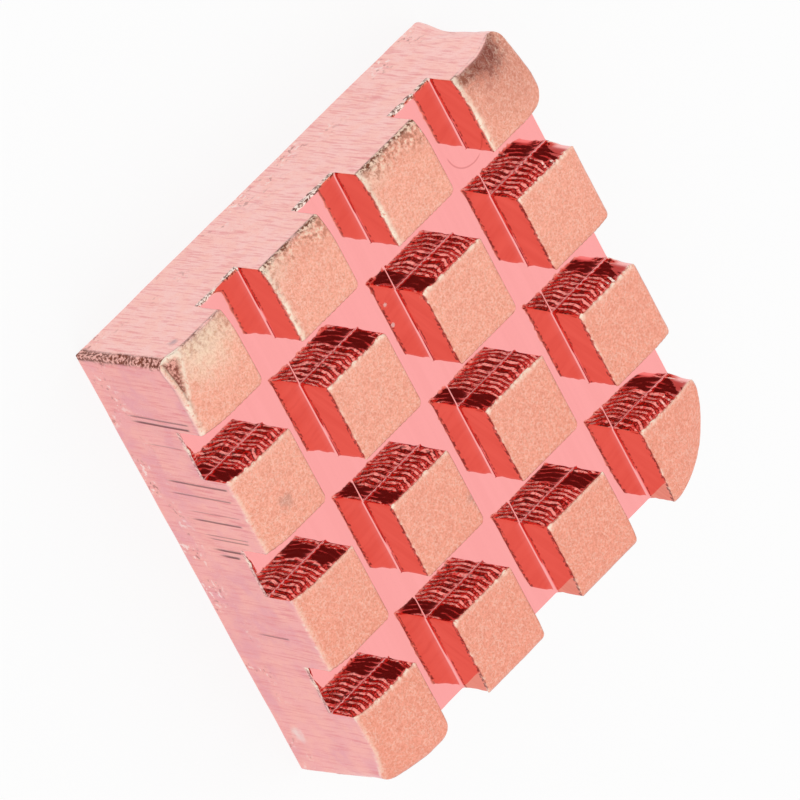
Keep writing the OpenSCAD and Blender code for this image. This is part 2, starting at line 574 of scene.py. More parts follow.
def ragged(seed, place, size):
    """Random teeth from 0 to 1: the positive half of lattice noise, made uneven by noise
    that is six times slower."""
    teeth = np.clip(soft_noise(seed, place / size), 0, 1)
    slow = 0.55 + 0.45 * soft_noise(seed + 1, place / (6 * size))
    return teeth * slow


lip = near_edge(DEPTH, 0.07) * ON_PIN
left_lip = near_edge(LEFT, 0.06) * lip * (COLUMN > 0)
left_teeth = ragged(31, Y + 17 * COLUMN, LEFT_TOOTH)
DX -= (0.012 + 0.085 * left_teeth) * left_lip
DY += 0.03 * soft_noise(33, (Y + 17 * COLUMN) / 0.06) * left_lip

front_lip = near_edge(FRONT, 0.05) * lip * (ROW > 0)
front_teeth = ragged(35, X + 17 * ROW, FRONT_TOOTH)
DY -= (0.004 + 0.06 * front_teeth) * front_lip

corner_lump = near_edge(np.hypot(LEFT - 0.03, FRONT - 0.03), 0.09) * lip * (COLUMN > 0) * (ROW > 0)
DX -= 0.03 * corner_lump
DY -= 0.03 * corner_lump
DZ += 0.01 * corner_lump
print("longest burr", round(float(-(DX.min())), 3), "mm")

# %% [markdown]
# ### Bright lips and painted shade at the rims
#
# Two painted arrays tell the material where the edges are: PALE marks the bare copper of the
# lips, painted paler still as their glints, and PAINTED_SHADE is painted shade along the far edges of
# the tops and under the front lips. The strongest mark wins, so that marks which overlap don't
# add up.

# %% Paint the edges
# Pale lips: bare copper, painted paler still as a highlight on their edges.
PALE = near_edge(LEFT, 0.065) * ON_TOP * (COLUMN > 0) * (0.35 + 0.65 * smooth_step(left_teeth, 0.0, 0.3))
PALE = np.maximum(PALE, 0.7 * near_edge(FRONT, 0.03) * ON_TOP * smooth_step(front_teeth, 0.05, 0.3))
PALE = np.maximum(PALE, smooth_step(corner_lump, 0.25, 0.7))
# Painted shade: a dark line along the right and back edges of each top, and under the front lips.
far_edges = near_edge(RIGHT, 0.022) + near_edge(BACK, 0.022)
PAINTED_SHADE = np.clip(far_edges, 0, 1) * ON_TOP * (0.7 + 0.3 * soft_noise(37, X / 0.3, Y / 0.3))
under_lip = near_edge(DEPTH - 0.06, 0.045) * (RISE < 0.965) * ON_PIN * (np.abs(FRONT) < 0.06) * (ROW > 0)
PAINTED_SHADE = np.maximum(PAINTED_SHADE, under_lip * smooth_step(soft_noise(38, X / 0.05 + 7 * ROW), -0.1, 0.5))
print(int((PALE > 0.5).sum()), "pale stations and", int((PAINTED_SHADE > 0.5).sum()), "dark ones")

# %% [markdown]
# ## Ripples in the mesh
#
# The material draws the chatter of the cross slots, but its ripples also wave the foot and
# the lip of each wall. So the wall is pushed to and fro by a sine of the place along it.
# CALM marks the stretch of each wall where the saw ran steady.

# %% Ripple the walls
CHATTER_PITCH = 0.175

walls_x = (RISE > 0) & (RISE < 0.999) & (RISE_X <= RISE_Y) & (np.abs(X) < HALF_LENGTH - 0.5)
ripple = np.sin(2 * math.pi * (Y + 0.2 * Z) / CHATTER_PITCH + 2.5 * soft_noise(39, Y / 0.5 + 11 * COLUMN))
ripple = 0.009 * ripple * (0.55 + 0.45 * soft_noise(40, Y / 0.45 + 5 * COLUMN))
ripple = ripple * (1 + 1.6 * near_edge(DEPTH - PIN_HEIGHT, 0.16))
DX += ripple * walls_x * smooth_step(RISE, 0.0, 0.02)

# Pins whose left wall is smooth at its back or at its front, as 10 * column + row
CALM_AT_BACK = (11, 13, 20, 23, 30, 32, 33)
CALM_AT_FRONT = (10, 12, 21, 22, 31)
calm_back = np.isin(COLUMN * 10 + ROW, CALM_AT_BACK) * near_edge(BACK - 0.42, 0.36)
calm_front = np.isin(COLUMN * 10 + ROW, CALM_AT_FRONT) * near_edge(FRONT - 0.3, 0.34)
CALM = np.maximum(calm_back, calm_front)
print("walls ripple by", round(float(np.ptp(ripple)), 3), "mm")

# %% [markdown]
# ### Frayed and bent edges
#
# The upright edge at the front right of each pin is frayed. In the last row the back end
# of each left wall is bent in and rubbed bare.

# %% Fray and bend the edges
upright_edge = near_edge(RIGHT, 0.05) * near_edge(FRONT, 0.05) * ON_PIN * (RISE < 0.95) * (ROW > 0)
DX += 0.04 * soft_noise(45, Z / 0.11, COLUMN * 3.7, ROW * 5.3) * upright_edge
bent = np.clip(1 - BACK / 0.32, 0, 1) ** 2 * (ROW == PINS_Y - 1) * (COLUMN > 0) * smooth_step(RISE, 0.25, 0.6)
DX += 0.07 * bent * (1 - smooth_step(LEFT, 0.0, 0.5))
BARE = smooth_step(bent, 0.05, 0.3)
print(int((BARE > 0.5).sum()), "stations rubbed bare")

# %% [markdown]
# ## The torn band of the left side
#
# On the left the punch tore the rolled edge instead of shearing it, so the tops of the
# first pins end in a dark, crumbled band. Its inner border wanders, and it is widest on
# the two middle pins. Behind it the skin is crinkled like foil.

# %% Torn band
wander = 0.09 * soft_noise(41, Y / 0.4) + 0.04 * soft_noise(42, Y / 0.1)
ends = smooth_step(np.abs(FROM_PIN_Y), 0.1, 0.95)
on_left_pins = (COLUMN == 0) * ON_PIN * (DEPTH < 0.08)
end_rows = [ROW == 0, ROW == PINS_Y - 1]
reach = np.select(end_rows, [-0.03 + 0.05 * ends, -0.06 + 0.04 * ends], 0.05 + 0.07 * ends)
TORN = (1 - smooth_step(LEFT - 0.6 * wander, reach - 0.05, reach + 0.05)) * on_left_pins
back_reach = np.where(ROW == PINS_Y - 1, 0.9, 0.5)
CRINKLED = 1 - smooth_step(LEFT - 1.5 * wander - 0.3 * near_edge(BACK, back_reach), 0.1, 0.55)
CRINKLED = np.maximum(CRINKLED, 0.8 * (1 - smooth_step(FRONT - wander, 0.05, 0.3))) * on_left_pins
CRINKLED = CRINKLED * np.select(end_rows, [0.5, 0.4], 1.0)
crumbs = soft_noise(43, X / 0.075, Y / 0.075)
DZ -= 0.022 * np.clip(crumbs, -0.3, 1) * np.maximum(TORN, 0.5 * CRINKLED) * ON_TOP
DX += 0.03 * np.clip(crumbs, 0, 1) * TORN * near_edge(LEFT, 0.1)
print("torn band covers", int((TORN > 0.5).sum()), "stations")

# %% [markdown]
# ## The chipped front left corner
#
# The upright edge at the front left took a knock and is chipped over its whole height.
# Pushing the stations towards the middle of the block by ragged amounts makes chips.

# %% Chips
CHIP_DEPTH = 0.09

at_corner = near_edge(np.hypot(FROM_LEFT - 0.06, FROM_FRONT - 0.1), 0.14) * (1 - ON_TOP)
chips = np.clip(soft_noise(51, Z / 0.4, FROM_LEFT / 0.3) + 0.55, 0, 1)
chips = chips * (0.75 + 0.5 * soft_noise(52, Z / 0.1, FROM_LEFT / 0.08))
chipped = CHIP_DEPTH * chips * at_corner * smooth_step(Z, 0.02, 0.4)
DX += chipped
DY += chipped
CHIP = smooth_step(at_corner * (0.75 + 0.5 * chips), 0.22, 0.5)
print("chips up to", round(float(chipped.max()), 3), "mm deep")

# %% [markdown]
# ### The facet and the rims beside it
#
# The same knock tore a small facet out of the top: a piece that lies lower, cut off by a
# slanting line. The line and the outer edges of this pin are rubbed to bare copper and painted
# paler as a highlight, and so are the front edges of the other pins of the first column.

# %% Facet
FACET_DEPTH = 0.06

across_facet = FROM_FRONT + 0.42 * FROM_LEFT
on_first = (COLUMN == 0) * (ROW == 0) * ON_TOP
facet = (1 - smooth_step(across_facet, 0.52, 0.6)) * smooth_step(FROM_FRONT, 0.12, 0.17) * on_first
facet = facet * smooth_step(FROM_LEFT, 0.09, 0.15)
TORN = TORN * (1 - facet)
DZ -= (FACET_DEPTH + 0.025 * soft_noise(55, X / 0.09, Y / 0.09)) * facet

# Pale rims: bare copper, painted paler as a highlight.
front_edge = near_edge(FROM_FRONT - 0.05, np.where(COLUMN == 0, 0.08, 0.05)) * ON_TOP * (ROW == 0)
front_edge = front_edge * np.where(COLUMN == 0, 1.0, 0.45) * (0.8 + 0.4 * soft_noise(56, X / 0.2))
facet_line = 0.9 * near_edge(across_facet - 0.63, 0.045) * on_first * (FROM_LEFT < 1.4)
left_edge = near_edge(LEFT - 0.03, 0.1) * on_first * (FRONT < 0.6)
front_of_others = near_edge(FRONT - 0.03, 0.08) * ON_TOP * (COLUMN == 0) * (ROW > 0)
front_of_others = front_of_others * (0.75 + 0.5 * soft_noise(57, X / 0.15))
PALE = np.max([PALE, front_edge, facet_line, left_edge, front_of_others], axis=0)
# The groove is painted shade, a dark line that the mesh doesn't cut.
groove = near_edge(FROM_FRONT - 0.13, 0.03) * on_first * (1 - smooth_step(FROM_LEFT, 1.2, 1.6))
PAINTED_SHADE = np.maximum(PAINTED_SHADE, 0.75 * groove)
print("facet covers", int((facet > 0.5).sum()), "stations")

# %% [markdown]
# ## Lumps where the slots leave the block
#
# Where a slot opens on a side, the saw dragged copper over the rim of its floor. Each
# such rim gets a ragged lip, and on the front a few bigger lumps at places of their own.

# %% Lumps at the rims of the floors
LUMPS_AT = (-3.76, -0.36, 2.95, 3.5)

on_floor = (RISE < 0.02) & (RISE > -0.04)
left_rim = near_edge(FROM_LEFT, 0.06) * on_floor * (COLUMN == 0) * (FRONT * BACK < 0)
front_rim = near_edge(FROM_FRONT, 0.05) * on_floor * (ROW == 0) * (LEFT * RIGHT < 0)
rim_teeth = np.clip(ragged(61, Y, 0.07) + 0.1 * soft_noise(62, Y / 0.4), 0, 1)
lumps = np.max([near_edge(X - at, 0.11) for at in LUMPS_AT], axis=0)
front_lumps = np.maximum(0.35 * ragged(63, X, 0.08), 0.8 * lumps)
DZ += 0.06 * rim_teeth * left_rim + 0.09 * front_lumps * front_rim
DX -= 0.03 * rim_teeth * left_rim
DY -= 0.07 * front_lumps * front_rim
# The rims and lumps are painted pale: bare copper with a painted highlight.
rims = np.maximum(0.5 * left_rim * rim_teeth, front_rim * smooth_step(front_lumps, 0.2, 0.7))
PALE = np.maximum(PALE, rims)
CRUMBS = np.maximum(left_rim * (0.6 + 0.5 * soft_noise(64, Y / 0.15)), 0.3 * front_rim)
print("rims stand up by", round(float((0.09 * front_lumps * front_rim).max()), 3), "mm")

# %% [markdown]
# ## Sheared sides
#
# A sheared side swells gently. The left side also leans in at its foot, and the upright
# corner at the back left is drawn in and out. SIDE says how far a point is on the sides.

# %% Sides
LEFT_LEAN = 0.17

inwards = 0.008 * (1 + soft_noise(71, (X + Y) / 0.8, Z / 1.1)) * smooth_step(-RISE, 0.1, 0.4)
FROM_RIGHT = HALF_LENGTH - X
FROM_BACK = HALF_WIDTH - Y
DX += np.where(FROM_LEFT < 0.05, inwards, 0) - np.where(FROM_RIGHT < 0.05, inwards, 0)
DY += np.where(FROM_FRONT < 0.05, inwards, 0) - np.where(FROM_BACK < 0.05, inwards, 0)
DX += LEFT_LEAN * (1 - Z / HEIGHT) * (1 - smooth_step(FROM_LEFT, 0, 2))
upright = near_edge(np.hypot(FROM_LEFT, FROM_BACK) - 0.2, 0.5)
hollow = (0.1 * near_edge(Z - 1.0, 0.75) - 0.07 * near_edge(Z - 2.75, 0.4)) * upright
DX += hollow
DY -= hollow
from_sides = np.minimum(np.minimum(FROM_LEFT, FROM_RIGHT), np.minimum(FROM_FRONT, FROM_BACK))
SIDE = np.maximum(OUTER * 1.0, 1 - smooth_step(from_sides, 0.0, 0.05))
print("left side leans in by", LEFT_LEAN, "mm at its foot")

# %% [markdown]
# ## From arrays to a mesh
#
# Each square of neighbouring stations becomes a face. It is told which finish it wears
# from the rises of its stations: the lower rise is that of the slot which cut it last.

# %% Which finish each face wears
FINISHES = ("slot floor", "smooth wall", "chattered wall", "rolled skin", "ground face")


def middle(values):
    """The mean of each square's four stations."""
    return (values[:-1, :-1] + values[1:, :-1] + values[1:, 1:] + values[:-1, 1:]) / 4


rise_x, rise_y = middle(RISE_X), middle(RISE_Y)
lower = np.minimum(rise_x, rise_y)
outer_x = np.abs(middle(SQUARE_X)) > HALF_LENGTH - 1e-4
outer_y = np.abs(middle(SQUARE_Y)) > HALF_WIDTH - 1e-4
side_face = (outer_x & (rise_x <= rise_y)) | (outer_y & (rise_y <= rise_x))
finish = np.full(lower.shape, FINISHES.index("rolled skin"))
finish[(lower < 0.965) & (rise_x < rise_y) & ~side_face] = FINISHES.index("chattered wall")
finish[(lower < 0.965) & (rise_y <= rise_x) & ~side_face] = FINISHES.index("smooth wall")
root_rise = np.where(rise_x < rise_y, ROOT_X, ROOT_Y) / PIN_HEIGHT
finish[(lower < root_rise) & ~side_face] = FINISHES.index("slot floor")
print({name: int((finish == number).sum()) for number, name in enumerate(FINISHES)})

# %% [markdown]
# ### Building the block
#
# Where several stations fell on one point, as along the upright edges, their faces shrink
# to nothing and are removed when the doubles are merged. The pushes are clipped just
# inside the CAD box, because the size comes from there.

# %% Build the block
INSIDE = 0.001
LEFT_INSIDE = 0.012


def build(name, x, y, z, finish, painted):
    """Join each square of stations by a face, close the underside with one face, give the
    faces their finish and the points their painted values, and merge what fell together."""
    rows, columns = x.shape
    points = np.stack([x, y, z], axis=-1).reshape(-1, 3) * 0.001
    number = np.arange(rows * columns).reshape(rows, columns)
    squares = np.stack([number[:-1, :-1], number[1:, :-1], number[1:, 1:], number[:-1, 1:]], axis=-1)
    rim = np.concatenate([number[0, :-1], number[:-1, -1], number[-1, :0:-1], number[:0:-1, 0]])
    mesh = bpy.data.meshes.new(name)
    mesh.from_pydata(points, [], squares.reshape(-1, 4).tolist() + [rim.tolist()])
    mesh.polygons.foreach_set("material_index", np.append(finish.ravel(), FINISHES.index("ground face")))
    for label, values in painted.items():
        layer = mesh.attributes.new(label, "FLOAT", "POINT")
        layer.data.foreach_set("value", values.ravel().astype(np.float32))
    made = bmesh.new()
    made.from_mesh(mesh)
    bmesh.ops.remove_doubles(made, verts=made.verts, dist=2e-7)
    bmesh.ops.dissolve_degenerate(made, dist=1e-8, edges=made.edges)
    bmesh.ops.recalc_face_normals(made, faces=made.faces)
    loose = sum(not edge.is_manifold for edge in made.edges)
    made.to_mesh(mesh)
    made.free()
    piece = bpy.data.objects.new(name, mesh)
    bpy.context.scene.collection.objects.link(piece)
    print(name, len(mesh.polygons), "faces,", loose, "open edges")
    return piece


painted = {"pale": PALE, "dark": PAINTED_SHADE, "torn": TORN, "crinkled": CRINKLED, "crumbs": CRUMBS,
           "facet": facet, "chip": CHIP, "side": SIDE, "depth": DEPTH, "calm": CALM, "bare": BARE}
inside_x = np.clip(X + DX, LEFT_INSIDE - HALF_LENGTH, HALF_LENGTH - INSIDE)
inside_y = np.clip(Y + DY, INSIDE - HALF_WIDTH, HALF_WIDTH - INSIDE)
inside_z = np.minimum(Z + DZ, HEIGHT - INSIDE)
block = build("copper_block", inside_x, inside_y, inside_z, finish, painted)

# %% [markdown]
# ### Smooth faces and creases
#
# The cells look smooth when their shading is blended, and real edges stay sharp.

# %% Smooth the shading, but keep the creases
block.data.shade_smooth()
block.data.set_sharp_from_angle(angle=math.radians(38))
block.data.calc_loop_triangles()
print(len(block.data.loop_triangles), "triangles")

# %% [markdown]
# ## Effects that the finishes share
#
# All five finishes are the same copper, so they share their effects. Each is a shader node
# group, worked out once and placed in a material with its own numbers. Places and heights
# are in millimetres: a bump of 0.002 is two thousandths of a millimetre.

# %% Helpers for the groups
ORIGIN = (0.0, 0.0, 0.0)


def new_group(name, inputs, outputs):
    """An empty shader node group with named sockets, and its inputs and outputs. An input
    is a number or a vector, as its first value is, and every output is a number."""
    tree = bpy.data.node_groups.new(name, "ShaderNodeTree")
    for label, value in inputs.items():
        kind = "NodeSocketFloat" if isinstance(value, float) else "NodeSocketVector"
        tree.interface.new_socket(label, in_out="INPUT", socket_type=kind).default_value = value
    for label in outputs:
        tree.interface.new_socket(label, in_out="OUTPUT", socket_type="NodeSocketFloat")
    return tree, tree.nodes.new("NodeGroupInput").outputs, tree.nodes.new("NodeGroupOutput").inputs


def placed(group, **values):
    """Place a group in a material, with its inputs given by name. Its outputs come back."""
    named = [(label.title(), value) for label, value in values.items()]
    return node("ShaderNodeGroup", named, node_tree=group).outputs


def noise(place, scale, detail=2.0, roughness=0.5):
    """Noise from 0 to 1, with scale waves a millimetre."""
    inputs = (("Vector", place), ("Scale", scale), ("Detail", detail), ("Roughness", roughness))
    return node("ShaderNodeTexNoise", inputs).outputs["Fac"]


print("group helpers ready")

# %% [markdown]
# ### Grain
#
# Blasting leaves pale flecks, painted highlights where a crest catches the light, and small
# dark pits between them, painted shade. Flecks and pits are the two ends of one finer noise.

# %% Group: grain
grain_group, given, gives = new_group(
    "grain", {"Place": ORIGIN, "Waves": 9.0}, ("Height", "Fleck", "Pit"))
flatter = vector_maths("MULTIPLY", given["Place"], (1.0, 0.7, 1.0))
finer = noise(flatter, times(given["Waves"], 2.2), 3.0, 0.7)
put(gives["Height"], noise(given["Place"], given["Waves"], 6.0, 0.78))
put(gives["Fleck"], ramp(finer, 0.58, 0.7))
put(gives["Pit"], ramp(finer, 0.42, 0.32))
print("grain group built")

# %% [markdown]
# ### Drawn lines
#
# Sawing, shearing and grinding all draw lines one way. Noise turns into lines when its
# places are stretched: many waves a millimetre across the lines, and few along them.

# %% Group: drawn lines
lines_group, given, gives = new_group(
    "drawn lines", {"Place": ORIGIN, "Stretch": (20.0, 20.0, 0.5)}, ("Height", "Streak"))
pulled = vector_maths("MULTIPLY", given["Place"], given["Stretch"])
wide = noise(scaled(pulled, 0.23), 1.0, 1.0)
put(gives["Height"], noise(pulled, 1.0, 2.0))
put(gives["Streak"], ramp(wide, 0.35, 0.7))
print("drawn lines group built")

# %% [markdown]
# ### Chatter
#
# A blade that rattles from tooth to tooth leaves ripples up the wall, five or six to a
# millimetre. They lean, they bend where the stroke turned, and where the blade ran steady
# the wall is smooth. A sine of the place along the wall gives the ripples. Noise moves
# them from side to side, which makes some run together. The streak is one flank of each.

# %% Group: chatter
BEND_HEIGHT = 2.95

chatter_group, given, gives = new_group(
    "chatter", {"Place": ORIGIN, "Steady": 0.0, "Height": 0.005}, ("Height", "Streak", "Calm"))
apart = split(given["Place"])
flat = vector_maths("MULTIPLY", given["Place"], (0.5, 1.0, 0.35))
rough = noise(given["Place"], 8.0, 2.0)
bend = maths("ABSOLUTE", maths("SUBTRACT", apart["Z"], BEND_HEIGHT))
leaning = maths("MULTIPLY_ADD", apart["Z"], 0.2, apart["Y"])
leaning = maths("MULTIPLY_ADD", bend, 0.22, leaning)
phase = times(leaning, 2 * math.pi / CHATTER_PITCH)
phase = maths("MULTIPLY_ADD", noise(flat, 2.2, 2.0), 13.0, phase)
phase = maths("MULTIPLY_ADD", rough, 2.4, phase)
border = maths("MULTIPLY_ADD", noise(flat, 4.5, 2.0), 0.9, given["Steady"])
calm = ramp(border, 0.98, 1.14)
strong = maths("MULTIPLY_ADD", calm, -0.85, 1.0)
wave = maths("MULTIPLY_ADD", rough, 1.2, maths("SINE", phase))
crest = times(ramp(maths("COSINE", phase), 0.3, -0.8), strong)
put(gives["Height"], times(times(wave, strong), given["Height"]))
put(gives["Streak"], times(crest, ramp(rough, 0.38, 0.52)))
put(gives["Calm"], calm)
print("chatter group built")

# %% [markdown]
# ### Scratches and stains
#
# A scratch runs straight up between two heights, and fades in at its lower end. A stain is
# a ball round its centre whose border noise breaks up, so it shows as a blot wherever the
# surface passes through it. The same ball also places patches of painted shade and painted
# highlight on the tops.

# %% Groups: scratch and stain
scratch_group, given, gives = new_group(
    "scratch", {"Across": 0.0, "Up": 0.0, "At": 0.0, "Low": 0.0, "High": 1.0, "Width": 0.03}, ("Cut",))
off = maths("ABSOLUTE", maths("SUBTRACT", given["Across"], given["At"]))
thin = ramp(maths("DIVIDE", off, given["Width"]), 1.0, 0.25)
fade_in = ramp(maths("SUBTRACT", given["Up"], given["Low"]), 0.0, 0.5)
fade_out = ramp(maths("SUBTRACT", given["High"], given["Up"]), 0.0, 0.12)
put(gives["Cut"], times(times(thin, fade_in), fade_out))

stain_and_light_group, given, gives = new_group(
    "stain_and_light_patch", {"Place": ORIGIN, "Centre": ORIGIN, "Size": 0.3, "Ragged": 1.2}, ("Mask",))
away = vector_maths("DISTANCE", given["Place"], given["Centre"], "Value")
broken = maths("SUBTRACT", noise(given["Place"], 6.0, 3.0), 0.5)
share = maths("MULTIPLY_ADD", broken, given["Ragged"], maths("DIVIDE", away, given["Size"]))
put(gives["Mask"], ramp(share, 0.9, 0.1))
print("scratch and stain groups built")

# %% [markdown]
# ## The finishes
#
# Copper takes its look from its base colour, which a metal uses as the colour of its
# reflections, and from how rough it is. Only what changes over the surface goes through
# nodes, and plain numbers are set on the shader. A tint is built up as a painter would,
# and each layer is a line with its strength, its mask and its colour.

# %% Helpers for the finishes
def copper_material(name, roughness):
    """A metal with plain numbers set on the shader itself, and its place in millimetres,
    which is the object's own coordinates times 1000."""
    material, shader = new_material(name)
    shader.inputs["Metallic"].default_value = 1.0
    shader.inputs["Roughness"].default_value = roughness
    metres = node("ShaderNodeTexCoord", tree=material.node_tree).outputs["Object"]
    return material, shader, scaled(metres, 1000.0)


def painted_value(shader, label):
    """One of the values that were painted on the mesh, for the material of a shader."""
    return node("ShaderNodeAttribute", tree=shader.id_data, attribute_name=label).outputs["Fac"]


def layered(tint, *layers):
    """A tint with colours laid over it in turn. The share of each is its mask times its
    strength, or the mask alone where the strength is 1."""
    for strength, mask, colour in layers:
        tint = blend(mask if strength == 1 else times(mask, strength), tint, colour)
    return tint


def two_tone(value, low, high, dark, light):
    """The dark colour where a value is low, and the light one where it is high."""
    return blend(ramp(value, low, high), dark, light)


def stain_and_light_patch(place, centre, size, ragged=1.2):
    """The mask of one patch, used for stains and marks and for painted shade and painted highlights."""
    return placed(stain_and_light_group, place=place, centre=centre, size=size, ragged=ragged)["Mask"]


def dress(shader, tint, height):
    """Join a tint to a shader, and a bump whose height is in millimetres."""
    inputs = (("Strength", 1.0), ("Distance", 0.001), ("Height", height))
    put(shader.inputs["Base Color"], tint)
    put(shader.inputs["Normal"], node("ShaderNodeBump", inputs).outputs["Normal"])


LIP_TINT = (1.0, 0.72, 0.58, 1)
# Dark torn copper with painted shade, and a pale painted highlight.
TORN_COPPER_SHADE_AND_GLINT = ((0.16, 0.04, 0.025, 1), (1.0, 0.8, 0.72, 1))
print("finish helpers ready")

# %% [markdown]
# ### The slot floors
#
# A sawn floor is nearly a mirror, with faint lines along the slots. Half a ring lies on it
# near the back left pin, and two small pale marks in the middle slot. The marks are matt,
# so they change the roughness too.

# %% Finish: slot floor
FLOOR_ROUGH = 0.04
RING_CENTRE = (-4.48, 4.34, BASE)
RING_RADIUS = 0.6
MARKS = ((-2.79, 0.27, BASE), (-2.23, 0.2, BASE))

floor_copper, shader, place = copper_material("slot floor", FLOOR_ROUGH)
apart = split(place)
lines = placed(lines_group, place=place, stretch=(0.5, 24.0, 1.0))
off_ring = maths("SUBTRACT", vector_maths("DISTANCE", place, RING_CENTRE, "Value"), RING_RADIUS)
ring = ramp(maths("ABSOLUTE", off_ring), 0.035, 0.0)
shown_half = ramp(maths("MULTIPLY_ADD", apart["Y"], -0.62, apart["X"]), -6.85, -6.7)
marks = 0.0
for centre in MARKS:
    marks = maths("MAXIMUM", marks, stain_and_light_patch(place, centre, 0.1, 0.8))
tint = blend(lines["Streak"], (0.95, 0.372, 0.365, 1), (0.935, 0.36, 0.352, 1))
tint = layered(
    tint,
    # Crumbs: dark torn copper with painted shade, and painted highlights on their crests.
    (1, ramp(painted_value(shader, "crumbs"), 0.15, 0.45),
     two_tone(noise(place, 15.0, 2.0), 0.44, 0.56, *TORN_COPPER_SHADE_AND_GLINT)),
    # Pale lips and rims: bare copper painted paler as a highlight.
    (1, painted_value(shader, "pale"), LIP_TINT),
    (0.45, times(ring, shown_half), (0.5, 0.1, 0.09, 1)),
    (1, marks, (1.0, 0.75, 0.72, 1)))
put(shader.inputs["Roughness"], ramp(marks, 0.0, 1.0, FLOOR_ROUGH, 0.6))
dress(shader, tint, times(lines["Height"], 0.00006))
print("slot floor ready, with", len(MARKS), "marks")

# %% [markdown]
# ### The smooth walls
#
# These walls face front and back. They show copper in copper, which is why they turn a
# deep red, and their base colour is painted a deeper red as well, a painted reflection. Under
# the lip and above the root a broken dark line is painted shade, whose edge a noise cuts into
# teeth.

# %% Finish: smooth wall
LINE_SLANT = 0.9

wall_copper, shader, place = copper_material("smooth wall", 0.07)
slanted = turned(place, (0, 1, 0), LINE_SLANT)
lines = placed(lines_group, place=slanted, stretch=(0.8, 1.0, 16.0))
depth = painted_value(shader, "depth")
teeth = ramp(noise(place, 14.0, 2.0), 0.4, 0.62)
# Painted shade: a broken dark line under the lip, and one above the root.
shade_under_lip = ramp(maths("MULTIPLY_ADD", teeth, -0.11, depth), 0.075, 0.05)
shade_at_root = ramp(maths("MULTIPLY_ADD", teeth, 0.07, depth), 0.99, 1.01)
gaps_in_root_shade = ramp(noise(place, 1.2), 0.38, 0.5)
# Painted reflection: a deeper red than the floor's copper, as copper mirrored in copper.
tint = blend(lines["Streak"], (0.82, 0.235, 0.17, 1), (0.78, 0.205, 0.145, 1))
tint = layered(
    tint,
    (0.22, ramp(lines["Height"], 0.5, 0.66), (0.66, 0.12, 0.085, 1)),
    (0.9, shade_under_lip, (0.2, 0.03, 0.02, 1)),
    (0.8, times(shade_at_root, gaps_in_root_shade), (0.25, 0.03, 0.02, 1)),
    # Pale lips: bare copper painted paler as a highlight.
    (1, painted_value(shader, "pale"), (1.0, 0.7, 0.55, 1)))
dress(shader, tint, times(lines["Height"], 0.0003))
print("smooth wall ready")

# %% [markdown]
# ### The chattered walls
#
# The bump makes the stripes, because each ripple mirrors the dark card on one flank and
# the pale room on the other. The colour paints them too: the dark flank and the smooth
# stretches are a dark red painted reflection, and the bright flank a pale painted highlight.
# Where the wall is rubbed bare the bump dies away.

# %% Finish: chattered wall
RIPPLE_HEIGHT = 0.0122

chatter_copper, shader, place = copper_material("chattered wall", 0.12)
chatter = placed(chatter_group, place=place, steady=painted_value(shader, "calm"), height=RIPPLE_HEIGHT)
bare = painted_value(shader, "bare")
# Painted reflection and highlight: dark red for the mirrored card, pale on the bright flank.
tint = blend(chatter["Streak"], (0.66, 0.055, 0.035, 1), (1.0, 0.78, 0.68, 1))
tint = layered(
    tint,
    # Painted reflection: the smooth stretches are painted a darker red.
    (1, chatter["Calm"], (0.52, 0.03, 0.022, 1)),
    (1, bare, (0.97, 0.42, 0.4, 1)),
    # Pale lips: bare copper painted paler as a highlight.
    (1, painted_value(shader, "pale"), LIP_TINT))
dress(shader, tint, times(chatter["Height"], ramp(bare, 0.6, 0.0)))
print("chattered wall ready")

# %% [markdown]
# ### The skin of the strip
#
# Tops and sides are one finish, because the rolled edges join them. The top comes first:
# matt and sandy, with painted light that leaves it paler to the left and redder to the right,
# pale flecks as painted highlights, small dark pits as painted shade, and fine curls. Its
# stains and patches of painted light are a table: three grey stains, a broad painted shade
# on the back left pin, a brown stain in parts, and painted highlights down the left, the
# cream bloom on the front left pin the largest.

# %% Finish: rolled skin, the top
STAINS_AND_PAINTED_LIGHT = (
    # centre, size, how ragged, colour, strength
    ((-1.5, -5.4, HEIGHT), 0.35, 1.2, (0.45, 0.3, 0.26, 1), 0.4),
    ((2.16, -0.7, HEIGHT), 0.35, 1.2, (0.45, 0.32, 0.3, 1), 0.45),
    ((2.9, -0.4, HEIGHT), 0.4, 1.2, (0.42, 0.33, 0.33, 1), 0.5),
    # Painted shade: a broad darkening over the back left pin.
    ((-5.9, 5.9, HEIGHT - 0.2), 2.5, 0.3, (0.6, 0.24, 0.17, 1), 0.5),
    ((-6.45, 5.6, HEIGHT - 0.3), 1.05, 0.7, (0.2, 0.07, 0.05, 1), 0.95),
    ((-6.5, 4.95, HEIGHT - 0.22), 0.75, 0.9, (0.24, 0.09, 0.06, 1), 0.85),
    ((-6.45, 4.45, HEIGHT - 0.2), 0.5, 0.9, (0.27, 0.1, 0.06, 1), 0.7),
    # Painted highlights: the cream bloom on the front left pin, and two smaller ones behind it.
    ((-6.45, -5.3, HEIGHT - 0.1), 1.75, 0.5, (1.0, 0.79, 0.61, 1), 0.92),
    ((-6.4, -2.6, HEIGHT - 0.1), 0.9, 0.6, (1.0, 0.7, 0.56, 1), 0.6),
    ((-6.4, 1.0, HEIGHT - 0.1), 0.9, 0.6, (1.0, 0.7, 0.56, 1), 0.6),
)
BROWN_CENTRE = (-6.5, 5.35, HEIGHT - 0.35)

skin_copper, shader, place = copper_material("rolled skin", 0.4)
apart = split(place)
labels = ("side", "torn", "facet", "crinkled", "dark", "chip", "crumbs", "pale")
side, torn, fallen, crinkled, dark, chip, crumbs, pale = (painted_value(shader, label) for label in labels)
sand = placed(grain_group, place=place, waves=17.0)
clouds = noise(place, 0.9, 2.0)
